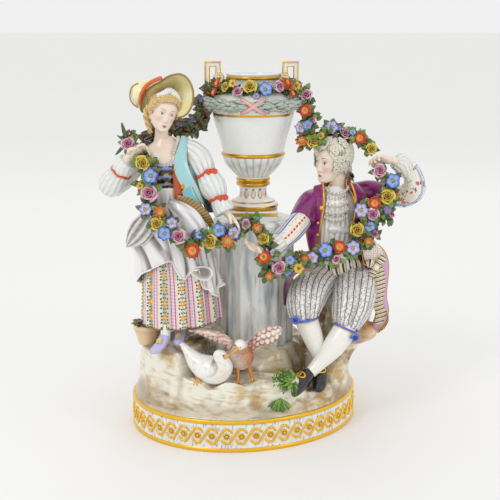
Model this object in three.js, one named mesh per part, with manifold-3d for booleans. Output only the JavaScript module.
// A porcelain figure group: a standing shepherdess and a seated gentleman hang a garland of flowers
// on an urn. The urn stands on a fluted column, two doves bill on the rocks in front of it, and all
// of it rises from an oval plinth with a moulded band. It was luted together before firing, so it is
// one piece. Millimetres, +Z up, front along -Y, origin at the centre of the plinth's flat underside.
import * as THREE from "three";
import { mergeVertices } from "three/addons/utils/BufferGeometryUtils.js";
import Module from "manifold-3d";

const wasm = await Module();
wasm.setup();

// Driving dimensions
const PLINTH = { rx: 107, ry: 91, turn: 0.4, height: 29, bead: 3.5, set: 1.4, sides: 28 };
const ROCKS = { around: 24, across: 5, below: 6 };
const COLUMN = { x: 8, y: 14, r: 38, foot: 58, top: 187.5, fluteTop: 170, flute: 1.8, flutes: 16 };
const SOCLE = { half: 22.5, top: 196.5 };
const HANDLE = { top: 330, foot: 294, inner: 316, out: 42.5, in: 27.5, bar: 5, depth: 6 };
const ROLL = { at: 29.5, z: 315.5, r: 5, length: 8 };
const WREATH = { r: 31, z: 306.5, blooms: 9, bloom: 8.8, lift: 0.45 };
const BLOOM = { r: 7.4, cord: 5.1, bud: 6.9, sway: 2.6, ahead: 3.5, sides: 4 };
const POT = { x: -88.5, y: -30, foot: 7.2, rim: 12.4, low: 79, high: 97 };
const WAIST = [-68, -29, 206];
const HEM = [-55, -26, 101];
const SEAT = [91, 20];

const vec = (a) => new THREE.Vector3(a[0], a[1], a[2]);
const smooth = (a, b, x) => THREE.MathUtils.smoothstep(x, a, b);
const turns = (i, n) => (i / n) * 2 * Math.PI;

// The value at x on the broken line through pairs [x, value]
function through(pairs, x) {
  const k = Math.max(1, pairs.findIndex(([at]) => at >= x));
  const [[x0, y0], [x1, y1]] = [pairs[k - 1], pairs[k]];
  return y0 + (y1 - y0) * THREE.MathUtils.clamp((x - x0) / (x1 - x0), 0, 1);
}

// Closed geometry as a solid, turned so that its faces point out
function solid(geometry) {
  const bare = geometry.index ? geometry.toNonIndexed() : geometry;
  const plain = new THREE.BufferGeometry().setAttribute("position", bare.getAttribute("position"));
  const merged = mergeVertices(plain, 1e-3);
  const triVerts = new Uint32Array(merged.index.array);
  const mesh = { numProp: 3, vertProperties: merged.attributes.position.array, triVerts };
  const made = new wasm.Manifold(new wasm.Mesh(mesh));
  if (made.volume() > 0) return made;
  for (let i = 0; i < triVerts.length; i += 3)
    [triVerts[i + 1], triVerts[i + 2]] = [triVerts[i + 2], triVerts[i + 1]];
  return new wasm.Manifold(new wasm.Mesh(mesh));
}

const join = (solids) => solids.reduce((a, b) => a.add(b));

// A solid through closed rings of points, with a fan at each end
function skin(rings) {
  const n = rings[0].length;
  const out = [];
  const tri = (a, b, c) => out.push(a.x, a.y, a.z, b.x, b.y, b.z, c.x, c.y, c.z);
  const middle = (ring) => ring.reduce((s, p) => s.add(p), new THREE.Vector3()).divideScalar(n);
  const [first, last] = [rings[0], rings.at(-1)];
  const [low, high] = [middle(first), middle(last)];
  for (let i = 0; i < n; i++) {
    const j = (i + 1) % n;
    for (let k = 0; k + 1 < rings.length; k++) {
      tri(rings[k][i], rings[k][j], rings[k + 1][j]);
      tri(rings[k][i], rings[k + 1][j], rings[k + 1][i]);
    }
    tri(low, first[j], first[i]);
    tri(high, last[i], last[j]);
  }
  const g = new THREE.BufferGeometry();
  return solid(g.setAttribute("position", new THREE.Float32BufferAttribute(out, 3)));
}

// A solid whose rings come from a function of the turn round it and the share of its length
function shell(sides, levels, point) {
  return skin(levels.map((v) => Array.from({ length: sides }, (_, i) => point(turns(i, sides), v))));
}

// A limb through stations [x, y, z, half width, half depth]: depth lies along ref, width across it.
// fold(turn, along) is an extra radius.
function limb(stations, sides, { ref = [0, -1, 0], fold = () => 0 } = {}) {
  const at = stations.map(vec);
  const rings = stations.map(([, , , wide, deep], k) => {
    const along = at[Math.min(k + 1, at.length - 1)].clone().sub(at[Math.max(k - 1, 0)]).normalize();
    const depth = vec(ref).addScaledVector(along, -vec(ref).dot(along)).normalize();
    const width = along.clone().cross(depth);
    return Array.from({ length: sides }, (_, i) => {
      const turn = turns(i, sides);
      const more = fold(turn, k / (stations.length - 1));
      const out = at[k].clone().addScaledVector(width, (wide + more) * Math.cos(turn));
      return out.addScaledVector(depth, (deep + more) * Math.sin(turn));
    });
  });
  return skin(rings);
}

// An ellipsoid
function ball([x, y, z], [rx, ry, rz], across = 7, up = 4) {
  return solid(new THREE.SphereGeometry(1, across, up).scale(rx, ry, rz).translate(x, y, z));
}

// A turned solid about a vertical axis, from [radius, height] pairs that start and end on the axis
function turned(profile, x, y, sides) {
  const points = profile.map(([r, z]) => new THREE.Vector2(r, z));
  return solid(new THREE.LatheGeometry(points, sides).rotateX(Math.PI / 2).translate(x, y, 0));
}

// A point of the plinth's oval, at a share of its radius
function oval(share, turn, z) {
  const [u, v] = [PLINTH.rx * share * Math.cos(turn), PLINTH.ry * share * Math.sin(turn)];
  const [c, s] = [Math.cos(PLINTH.turn), Math.sin(PLINTH.turn)];
  return new THREE.Vector3(u * c - v * s, u * s + v * c, z);
}

function plinth() {
  const { rx, bead, height, set, sides } = PLINTH;
  const band = 1 - set / rx;
  const slope = 0.8;
  const levels = [
    [1, 0], [1, bead], [band, bead + slope], [band, height - bead - slope], [1, height - bead], [1, height],
  ];
  return shell(sides, levels, (turn, [share, z]) => oval(share, turn, z));
}

// Rock ledges: centre x and y, half width, half depth, height
const LEDGES = [
  [-76, -44, 34, 38, 80], [-50, -16, 36, 40, 88], [0, -8, 48, 38, 71], [8, 20, 56, 52, 72],
  [-18, -65, 38, 21, 56.5], [5, -63, 50, 22, 57], [-56, -63, 36, 23, 60], [58, -48, 34, 26, 43],
  [86, 7, 33, 42, 61], [-28, 52, 60, 34, 66],
];

// The height of the rocks above the ground, drawn down to the plinth along its edge
function rockHeight(x, y, edge) {
  const base = PLINTH.height;
  let high = base;
  for (const [cx, cy, rx, ry, top] of LEDGES) {
    const away = Math.hypot((x - cx) / rx, (y - cy) / ry);
    high = Math.max(high, base + (top - base) * (1 - smooth(0.8, 1.3, away)));
  }
  const crags = 1.6 * Math.sin(x * 0.17 + y * 0.11) + 1.3 * Math.sin(x * 0.08 - y * 0.23 + 2);
  return base + (high - base + crags) * (1 - smooth(0.89, 0.985, edge)) - 0.5;
}

function rocks() {
  const { around, across } = ROCKS;
  const shares = Array.from({ length: across }, (_, k) => 0.985 * Math.sqrt((across - k) / across));
  const below = (turn) => oval(shares[0], turn, PLINTH.height - ROCKS.below);
  const ground = shell(around, [0, ...shares], (turn, share) => {
    const p = share ? oval(share, turn, 0) : below(turn);
    return share ? p.setZ(rockHeight(p.x, p.y, share)) : p;
  });
  const [x, y] = SEAT;
  const crags = (turn, along) =>
    2.2 * Math.sin(3 * turn + 5 * along) + 1.4 * Math.sin(5 * turn - 7 * along);
  const seat = [
    [x - 14, y, 26, 19.5, 27], [x - 11, y, 48, 21, 29], [x - 2, y, 74, 24, 31],
    [x + 4, y, 100, 27, 31], [x + 1, y, 121, 25, 26],
  ];
  const boulder = [
    [98, 2, 78, 10, 11], [108, -2, 81, 11.4, 11.4], [116, -5, 84, 10, 10], [121, -6, 87, 5.4, 6.4],
  ];
  return join([ground, limb(seat, 9, { fold: crags }), limb(boulder, 6)]);
}

function column() {
  const { x, y, r, foot, top, fluteTop, flute, flutes } = COLUMN;
  const levels = [[foot, flute], [fluteTop, flute], [fluteTop + 6, 0], [top, 0]];
  const shaft = shell(2 * flutes, levels, (turn, [z, cut]) => {
    const hollow = Math.round((turn * flutes) / Math.PI) % 2;
    const reach = r - hollow * cut;
    return new THREE.Vector3(x + reach * Math.cos(turn), y + reach * Math.sin(turn), z);
  });
  const [side, bottom] = [2 * SOCLE.half, top - 1];
  const socle = new THREE.BoxGeometry(side, side, SOCLE.top - bottom);
  return shaft.add(solid(socle.translate(x, y, (SOCLE.top + bottom) / 2)));
}

// The urn's outside from the socle up, its rim, and its hollow down to the floor
const URN_PROFILE = [
  [0, 195], [21.5, 196], [21.5, 201], [14.5, 206], [12.4, 213], [15, 220], [14.4, 226],
  [20, 232], [25.5, 239.5], [29.4, 249], [34, 270], [38, 286], [43, 288],
  [45.5, 293], [43, 299], [26, 306], [23.4, 313], [25.4, 316], [25, 320], [22.8, 320], [22, 305],
  [32, 292], [29, 268], [18, 241], [0, 234],
];
const URN_SIDES = 16;

function urn() {
  const { x, y } = COLUMN;
  const { top, out, bar: thick, depth } = HANDLE;
  const box = (a, b, low, high) => {
    const bar = new THREE.BoxGeometry(Math.abs(b - a), depth, high - low);
    return solid(bar.translate(x + (a + b) / 2, y, (low + high) / 2));
  };
  const roll = solid(new THREE.CylinderGeometry(ROLL.r, ROLL.r, ROLL.length, 8));
  const handles = [-1, 1].flatMap((side) => [
    box(side * out, side * (out - thick), HANDLE.foot, top),
    box(side * out, side * HANDLE.in, top - thick, top),
    box(side * (HANDLE.in + thick), side * HANDLE.in, HANDLE.inner, top),
    roll.translate([x + side * ROLL.at, y, ROLL.z]),
  ]);
  return join([turned(URN_PROFILE, x, y, URN_SIDES), ...handles]);
}

// A rose as a low cup that faces along out
function bloom(at, out, r = BLOOM.r) {
  const cup = [[0, -0.5 * r], [r, 0.1 * r], [0, 0.6 * r]].map(([a, b]) => new THREE.Vector2(a, b));
  const turn = new THREE.Quaternion().setFromUnitVectors(new THREE.Vector3(0, 1, 0), vec(out).normalize());
  return solid(new THREE.LatheGeometry(cup, 6).applyQuaternion(turn).translate(at.x, at.y, at.z));
}

// A swag through points: a leafy cord that swells into a bud and sways aside at every bloom, with an
// open rose on every fourth. out is the way the flowers face.
function swag({ points, count, out }) {
  const path = new THREE.CatmullRomCurve3(points.map(vec), false, "centripetal");
  const face = vec(out).normalize();
  const at = (k) => {
    const share = k / (2 * count);
    const aside = path.getTangentAt(share).cross(face).normalize();
    return path.getPointAt(share).addScaledVector(aside, [0, 1, 0, -1][k % 4] * BLOOM.sway);
  };
  const stations = Array.from({ length: 2 * count + 1 }, (_, k) => {
    const r = k % 2 ? BLOOM.bud : BLOOM.cord;
    return [...at(k).toArray(), r, r];
  });
  const roses = [];
  for (let k = 1; k < 2 * count; k += 8) roses.push(bloom(at(k).addScaledVector(face, BLOOM.ahead), out));
  return join([limb(stations, BLOOM.sides, { ref: out }), ...roses]);
}

// The garland: from the urn over the gentleman's head to his raised hand, down across his lap to the
// joined hands and up the shepherdess's front, and behind her shoulders back to the urn
const GARLAND = [
  {
    points: [
      [46, 6, 310], [55, 2, 302], [56, 0, 286], [57, -1, 272], [57, -1, 261], [67, 0, 261], [79, 11, 268],
      [92, 12, 264], [105, 8, 259], [117, 2, 250],
    ],
    count: 9, out: [-0.1, -0.95, 0.25],
  },
  {
    points: [
      [117, -1, 248], [123, -8, 236], [130, -9, 222], [126, -11, 208], [112, -13, 199], [102, -15, 188],
      [108, -13, 174], [96, -22, 168], [78, -29, 164], [58, -36, 157], [40, -43, 152], [24, -48, 154],
      [16, -50, 168], [14, -49, 184], [6, -49, 192],
    ],
    count: 15, out: [0, -0.97, 0.2],
  },
  {
    points: [
      [2, -49, 190], [-16, -54, 186], [-32, -60, 179], [-48, -65, 179], [-62, -66, 190], [-74, -62, 203],
      [-80, -58, 216], [-80, -56, 232], [-84, -57, 246], [-92, -52, 256], [-98, -42, 265], [-90, -26, 265],
    ],
    count: 12, out: [0, -0.97, 0.2],
  },
  {
    points: [
      [-90, -26, 265], [-77, -14, 270], [-62, -8, 273], [-48, -1, 273], [-40, 5, 282], [-36, 8, 296],
      [-26, 11, 305],
    ],
    count: 6, out: [0.1, -0.9, 0.4],
  },
];

function garlands() {
  const { x, y } = COLUMN;
  const wreath = Array.from({ length: WREATH.blooms }, (_, i) => {
    const [c, s] = [Math.cos(turns(i, WREATH.blooms)), Math.sin(turns(i, WREATH.blooms))];
    const at = new THREE.Vector3(x + WREATH.r * c, y + WREATH.r * s, WREATH.z);
    return bloom(at, [c, s, WREATH.lift], WREATH.bloom);
  });
  return join([...wreath, ...GARLAND.map(swag)]);
}

// A small hand: a flat palm with the fingers together, and the thumb apart
function hand(wrist, knuckles, tips, thumb) {
  const between = (a, b, t) => vec(a).lerp(vec(b), t).toArray();
  const bend = between(knuckles, tips, 0.6);
  const palm = limb(
    [[...wrist, 3.8, 3.6], [...knuckles, 5, 3.2], [...bend, 4, 2.4], [...tips, 2.2, 1.6]], 5,
  );
  return palm.add(limb([[...between(wrist, knuckles, 0.3), 2.2, 2.2], [...thumb, 1.3, 1.3]], 3));
}

// A foot in its shoe, from the ankle to the toe
const shoe = (stations) => limb(stations, 5, { ref: [0, 0, 1] });

// Heights of a hem by the turn round the figure, in half turns from the back through the left
const APRON_HEM = [
  [-1, 133], [-0.74, 150], [-0.56, 158], [-0.47, 146], [-0.35, 151], [-0.27, 133], [-0.05, 130], [0.5, 126],
  [0.85, 130], [1, 133],
];

function skirts() {
  const centre = (z) => vec(WAIST).lerp(vec(HEM), (WAIST[2] - z) / (WAIST[2] - HEM[2]));
  const around = (turn, z, r) =>
    centre(z).add(new THREE.Vector3(r * Math.cos(turn), 0.93 * r * Math.sin(turn), 0));
  const flare = [[0, 13], [0.15, 21], [0.35, 27.5], [0.65, 32.5], [1, 36.5]];
  const skirt = shell(18, [1, 0.7, 0.35, 0.15, 0], (turn, v) => {
    const pleat = 1.6 * v * Math.cos(9 * turn);
    return around(turn, WAIST[2] + (HEM[2] - WAIST[2]) * v, through(flare, v) + pleat);
  });
  const over = shell(20, [1, 0.66, 0.33, 0.1, 0], (turn, v) => {
    const half = (turn > Math.PI ? turn - 2 * Math.PI : turn) / Math.PI;
    const z = WAIST[2] + 3 + (through(APRON_HEM, half) - WAIST[2] - 3) * v;
    const drop = (WAIST[2] - z) / (WAIST[2] - HEM[2]);
    const belly = 13 * Math.exp(-(((Math.abs(half) - 1) / 0.22) ** 2)) * Math.sin(Math.PI * v ** 1.5);
    const out = 3 * Math.min(1, 5 * v) + belly + 1.5 * v * Math.cos(10 * turn);
    return around(turn, z, through(flare, Math.max(0, drop)) + out);
  });
  const lappet = [
    [-80, -43, 204, 6, 4], [-89, -48, 188, 11, 4.4], [-96, -48, 180, 8.4, 3.6], [-103, -45, 172, 1, 1],
  ];
  const puff = [
    [-62, -43, 210, 5, 5], [-55, -47, 204, 9, 7], [-45, -50, 192, 11, 9], [-37, -50, 173, 6, 5],
  ];
  const turnedBack = [[-34, -50, 153, 5, 4], [-36.5, -58.5, 151.5, 10, 6.6]];
  return join([skirt, over, limb(lappet, 5), limb(puff, 6), limb(turnedBack, 6, { ref: [0, 0, 1] })]);
}

// The hat's brim, tilted up in front and turned down at the cheek
const BRIM = [
  [-71, -36, 314.5], [-64, -40, 319], [-57, -42, 321], [-51, -42.5, 320], [-46, -43, 315], [-43, -43, 306],
  [-44, -43, 295], [-49, -43, 287], [-62, -27, 284], [-80, -9, 284], [-90.5, -20, 290], [-85, -28, 304],
];

function hat() {
  const [middle, up, thick, arch] = [vec([-72, -17, 301]), vec([-0.22, 0.62, 0.75]).normalize(), 1.2, 3.2];
  const levels = [[0.3, -1], [1, -1], [1, 1], [0.3, 1]];
  const brim = skin(levels.map(([share, face]) => {
    const lift = face * thick + arch * Math.sin(Math.PI * share);
    return BRIM.map((p) => middle.clone().lerp(vec(p), share).addScaledVector(up, lift));
  }));
  return brim.add(ball([-88, -8, 301.5], [13.2, 13, 12.8], 8, 5));
}

function shepherdess() {
  const torso = [
    [-68, -29, 203, 14, 12], [-68, -30, 213, 13, 11], [-69, -31, 225, 16, 13],
    [-70, -33, 238, 18, 14.8], [-70, -32, 247, 19, 13.2], [-70, -29, 256, 19, 10], [-71, -28, 263, 11, 8],
    [-72, -28, 269, 6.4, 6.4], [-71, -30, 281, 6.4, 6.4],
  ];
  const vest = [[-51, -33, 264, 4, 5], [-54, -41, 245, 6, 5], [-47, -43, 224, 8, 5], [-37, -42, 206, 8, 5]];
  const leftSleeve = [
    [-56, -26, 257, 8.4, 8.4], [-46.5, -27, 252.5, 11.6, 10.8], [-39, -30, 244, 12.8, 11.4],
    [-34.2, -34, 233.5, 9.6, 9.2], [-29, -38, 226.5, 12.4, 11.6], [-24.5, -41, 219, 10.8, 10.4],
    [-22.4, -43, 214, 7.6, 7.4], [-16.5, -47, 203, 9.6, 9.2],
  ];
  const rightSleeve = [
    [-84, -27, 254, 8.4, 8.4], [-96, -30, 244, 11.2, 11], [-107, -35, 232.5, 12.4, 12],
    [-118, -39.5, 221.5, 9.6, 9.6],
  ];
  const rightFore = [
    [-119, -40, 221.5, 8.8, 8.8], [-114, -43, 228, 12, 11.6], [-106, -46, 238, 9.4, 9.2],
    [-98.5, -50, 249, 7.8, 7.6],
  ];
  return join([
    skirts(), limb(torso, 9), limb(vest, 5), hat(),
    ball([-70, -33.5, 288], [12.2, 13.4, 16.2], 8, 5),
    ball([-74, -27, 292], [13.6, 12.4, 13], 7, 4),
    ball([-82.5, -31.5, 282], [3.8, 4, 12.5], 6, 4),
    ball([-68, -41, 299], [10, 5, 5.5], 6, 4),
    limb(leftSleeve, 6), limb(rightSleeve, 6), limb(rightFore, 6),
    limb([[-68, -50, 110, 6, 6], [-70, -54, 88, 4.5, 4.5]], 6),
    limb([[-56, -36, 110, 6, 6], [-57, -43, 90, 4.5, 4.5]], 6),
    shoe([
      [-70, -54, 92, 4.8, 5.2], [-74, -60, 86.5, 5, 4.6], [-78, -65, 84, 4.4, 3.4],
      [-81, -69, 83, 2, 1.8],
    ]),
    shoe([[-57, -43, 94, 4.8, 5.2], [-58, -50, 88.5, 5, 4.2], [-59, -57, 86.8, 2.4, 2]]),
    hand([-18, -47, 205], [-9, -53, 197], [-3, -56, 189], [-5, -53, 199]),
    hand([-100, -50, 250], [-89, -54, 258], [-81, -55, 258], [-88, -58, 253]),
  ]);
}

// The coat's skirts spread round the seat and hang lowest on the right
function coatTails() {
  const [x, y] = SEAT;
  const [waist, top] = [18, 166];
  const hem = [[-1, 104], [-0.62, 114], [-0.4, 122], [-0.24, 108], [0, 92], [0.5, 98], [1, 104]];
  const reach = [[-1, 39.5], [-0.7, 27], [-0.5, 19], [-0.3, 27], [-0.2, 37.5], [0.3, 41.5], [1, 39.5]];
  return shell(16, [1, 0.6, 0.25, 0], (turn, v) => {
    const half = (turn > Math.PI ? turn - 2 * Math.PI : turn) / Math.PI;
    const r = waist + (through(reach, half) - waist) * Math.sqrt(v) + 1.5 * v * Math.cos(8 * turn);
    const z = top + (through(hem, half) - top) * v;
    return new THREE.Vector3(x + 1.06 * r * Math.cos(turn), y + 0.92 * r * Math.sin(turn), z);
  });
}

function gentleman() {
  const torso = [
    [91, 22, 122, 26, 22], [91, 19, 138, 24, 21], [91, 17, 152, 21.5, 18], [88, 15, 167, 23, 19.4],
    [85, 13, 186, 26, 20.8], [84, 14, 202, 28, 18.6], [84.5, 15, 211, 23, 14.6], [85.5, 15, 219, 13, 12],
    [84, 11, 228, 8.4, 8.4],
  ];
  const jabot = [
    [86, -1, 150, 10, 6], [82, -4, 183, 13, 8.4], [83, 4, 206, 11.4, 9.4], [84, 9, 216, 8.6, 7.6],
  ];
  const curls = Array.from({ length: 4 }, (_, k) => {
    const turn = -0.95 + k * 0.85;
    return ball([83 + 15 * Math.cos(turn), 11 + 15 * Math.sin(turn), 239], [7, 7, 8], 5, 3);
  });
  const rightArm = [
    [70, 11, 206, 10, 10], [62, 5, 202.5, 12.2, 11.8], [56, -4, 196.5, 12, 11.6],
    [51.5, -13, 189.5, 11.8, 11.4],
  ];
  const rightCuff = [
    [53, -10, 191, 9.8, 9.8], [45, -21, 184.5, 10.8, 10.4], [30, -38, 174, 9.2, 8.8],
    [22, -44, 169.5, 8.2, 7.6],
  ];
  const leftArm = [
    [101, 19, 209, 10.5, 10.5], [117, 21, 208.5, 12.8, 12.8], [133, 21, 206.5, 11, 10.6],
    [147, 18, 206.5, 10.4, 9.8],
  ];
  const leftCuff = [
    [143, 19.5, 205.5, 9.8, 9.4], [152, 16, 209, 11.4, 10.8], [156.4, 12, 219, 10.6, 10.6],
    [152, 9, 231, 9.4, 9.4],
    [144, 5.5, 237.5, 9.4, 9], [138.5, 3, 242, 8.4, 7.8],
  ];
  const rightThigh = [
    [79, 18, 128, 16.5, 18.5], [66, -4, 127.5, 17.6, 19], [59, -20, 124.8, 17, 18.6],
    [54.7, -33, 119, 15.8, 17.2],
    [54, -38.5, 110, 13.2, 14.8], [55, -39.5, 104, 11, 11.8],
  ];
  const leftThigh = [
    [105, 22, 126, 17.5, 19.5], [102.5, -2, 125, 18.8, 20.8], [100.5, -15, 121, 18.2, 20.2],
    [97.8, -27, 114.5, 17, 18.8],
    [94.6, -34, 104, 13.4, 15], [93.4, -36, 97.4, 11.2, 11.8],
  ];
  const rightCalf = [
    [54, -39, 110, 9.8, 9.8], [57, -38, 100, 10.6, 10.6], [62, -36.5, 86, 9.6, 9.6],
    [70, -37, 58, 5, 5],
  ];
  const leftCalf = [
    [93, -36, 105, 10.2, 10.2], [88, -38, 95, 11.8, 11.8], [79, -42, 82, 10.8, 10.8],
    [57, -52, 56, 5.2, 5.2],
  ];
  const lining = [
    [118, -3, 158, 5, 2], [126, -3, 146, 6, 2.2], [126, -4, 120, 6, 2.2], [126.5, -4, 101, 6.6, 2.2],
    [126, -4, 86, 3.4, 1.8],
  ];
  return join([
    limb(torso, 9), limb(jabot, 5), coatTails(), limb(lining, 4),
    ball([79.5, 7.5, 240.8], [14.4, 14.4, 19.4], 8, 5), ball([83, 11, 244], [16, 15.6, 17.4], 7, 5),
    ...curls, ball([98, 14, 226], [6, 4, 4.5], 5, 3),
    limb(rightArm, 7), limb(rightCuff, 6), limb(leftArm, 7, { ref: [0, 0, 1] }), limb(leftCuff, 7),
    limb(rightThigh, 7, { ref: [1, 0, 0] }), limb(leftThigh, 7, { ref: [1, 0, 0] }),
    limb(rightCalf, 6), limb(leftCalf, 6),
    shoe([
      [71, -35, 58, 5.4, 6], [69, -43, 52.5, 6.6, 6.8], [67.5, -50, 48, 7, 5.8], [66, -59, 45, 3.4, 3],
    ]),
    shoe([
      [58, -50, 56, 5.8, 6.4], [50.5, -58, 51.5, 7.6, 7.8], [44, -64, 47.8, 8.4, 7.2],
      [37, -71, 44.8, 3.8, 3.6],
    ]),
    hand([22, -44, 170], [9, -54, 174], [2, -57, 181], [6, -50, 182]),
    hand([139, 3, 240], [128, -1, 244], [119, -4, 243], [124, -5, 238]),
  ]);
}

// Two doves touch beaks: the nearer with closed wings, the other with its wings spread
function doves() {
  const white = [
    [-57, -59, 92, 2.4, 1.8], [-49, -63, 82, 5, 5.4], [-42, -67, 74.5, 9, 9.5],
    [-33, -70, 69.5, 12.2, 12.4],
    [-24, -73, 68, 12.6, 12.4], [-18.5, -76, 72.5, 9.6, 9.8], [-19, -79, 79.5, 6.4, 6.6],
    [-21, -80.5, 85, 6, 5.8],
    [-22, -81, 89, 2, 2],
  ];
  const neck = [[-3, -59, 80, 9.6, 9.6], [-3.6, -66, 88.5, 5.4, 5.4], [-3.8, -69, 94, 3, 3]];
  const leftWing = [
    [-6, -57.5, 82.5, 4, 1.8], [-18, -56, 91, 5.6, 1.8], [-28, -54.5, 94, 5, 1.8],
    [-38, -54, 96.8, 3, 1.6], [-49, -54, 99.4, 0.8, 0.8],
  ];
  const rightWing = [
    [4, -56, 83.5, 4, 1.8], [12, -52, 90, 6, 1.8], [22, -48.5, 92.4, 8.4, 1.8], [29, -47, 94, 7, 1.6],
    [33.5, -46, 96, 1.6, 1],
  ];
  const tail = [[0, -48, 79, 6, 3], [0.5, -33, 82.5, 8.5, 1.4]];
  const beaks = [
    [[-17, -83, 83.6, 2.6, 2.4], [-11.6, -84.6, 86.6, 1, 1]],
    [[-6, -72, 87.8, 2.6, 2.4], [-11.4, -78.4, 84.8, 1, 1]],
  ];
  const legs = [
    [-40, -69, 62, -40.5, -74.5, 46], [-6, -62, 66, -5.5, -69.5, 46], [4, -60, 66, 7.5, -67, 46],
  ];
  return join([
    limb(white, 7), ball([-3, -57, 75.2], [12, 12.4, 12.2], 8, 5),
    limb(neck, 6), ball([-3.8, -68.5, 90], [5.4, 5.6, 5.2], 7, 5),
    limb(leftWing, 5), limb(rightWing, 5), limb(tail, 5, { ref: [0, 0, 1] }),
    ...beaks.map((beak) => limb(beak, 4)),
    ...legs.map(([x, y, z, a, b, c]) => limb([[x, y, z, 2.6, 2.4], [a, b, c, 3, 2.4]], 4)),
  ]);
}

// A flower pot on the ledge behind the shepherdess, and leaves growing on the rocks
function plants() {
  const { x, y, foot, rim, low, high } = POT;
  const pot = turned([[0, low], [foot, low], [rim, high], [0, high]], x, y, 9);
  const leaf = (root, tip) => {
    const middle = vec(root).lerp(vec(tip), 0.5).add(new THREE.Vector3(0, 0, 1.5)).toArray();
    const stations = [[...root, 1.4, 1.4], [...middle, 4.6, 1.6], [...tip, 0.8, 0.8]];
    return limb(stations, 3, { ref: [0, 0, 1] });
  };
  const fern = [[28, -70, 63], [26, -73, 56], [38, -72, 63]].map((tip) => leaf([44, -62, 50], tip));
  const grass = [[22, -82, 41], [31, -84, 37], [39, -82, 41]].map((tip) => leaf([30.5, -72, 47], tip));
  return join([pot, ball([x, y, high + 2], [13, 12, 6.5], 7, 4), ...fern, ...grass]);
}

// The one body of the union, with the pockets that overlapping parts closed off filled in
function filled(made) {
  const bodies = made.decompose().filter((body) => body.volume() > 0);
  if (bodies.length !== 1) throw new Error(bodies.length + " bodies where one is meant");
  return bodies[0];
}

function asMesh(made, name, material) {
  const { vertProperties, triVerts } = made.getMesh();
  const g = new THREE.BufferGeometry();
  g.setAttribute("position", new THREE.BufferAttribute(new Float32Array(vertProperties), 3));
  g.setIndex(new THREE.BufferAttribute(new Uint32Array(triVerts), 1));
  const mesh = new THREE.Mesh(g, material);
  mesh.name = name;
  return mesh;
}

const porcelain = new THREE.MeshStandardMaterial({ color: 0xeeece4, roughness: 0.16, metalness: 0 });
const whole = join([
  plinth(), rocks(), column(), urn(), garlands(), shepherdess(), gentleman(), doves(), plants(),
]);

const group = new THREE.Group();
group.add(asMesh(filled(whole), "porcelain_group", porcelain));

export default group;
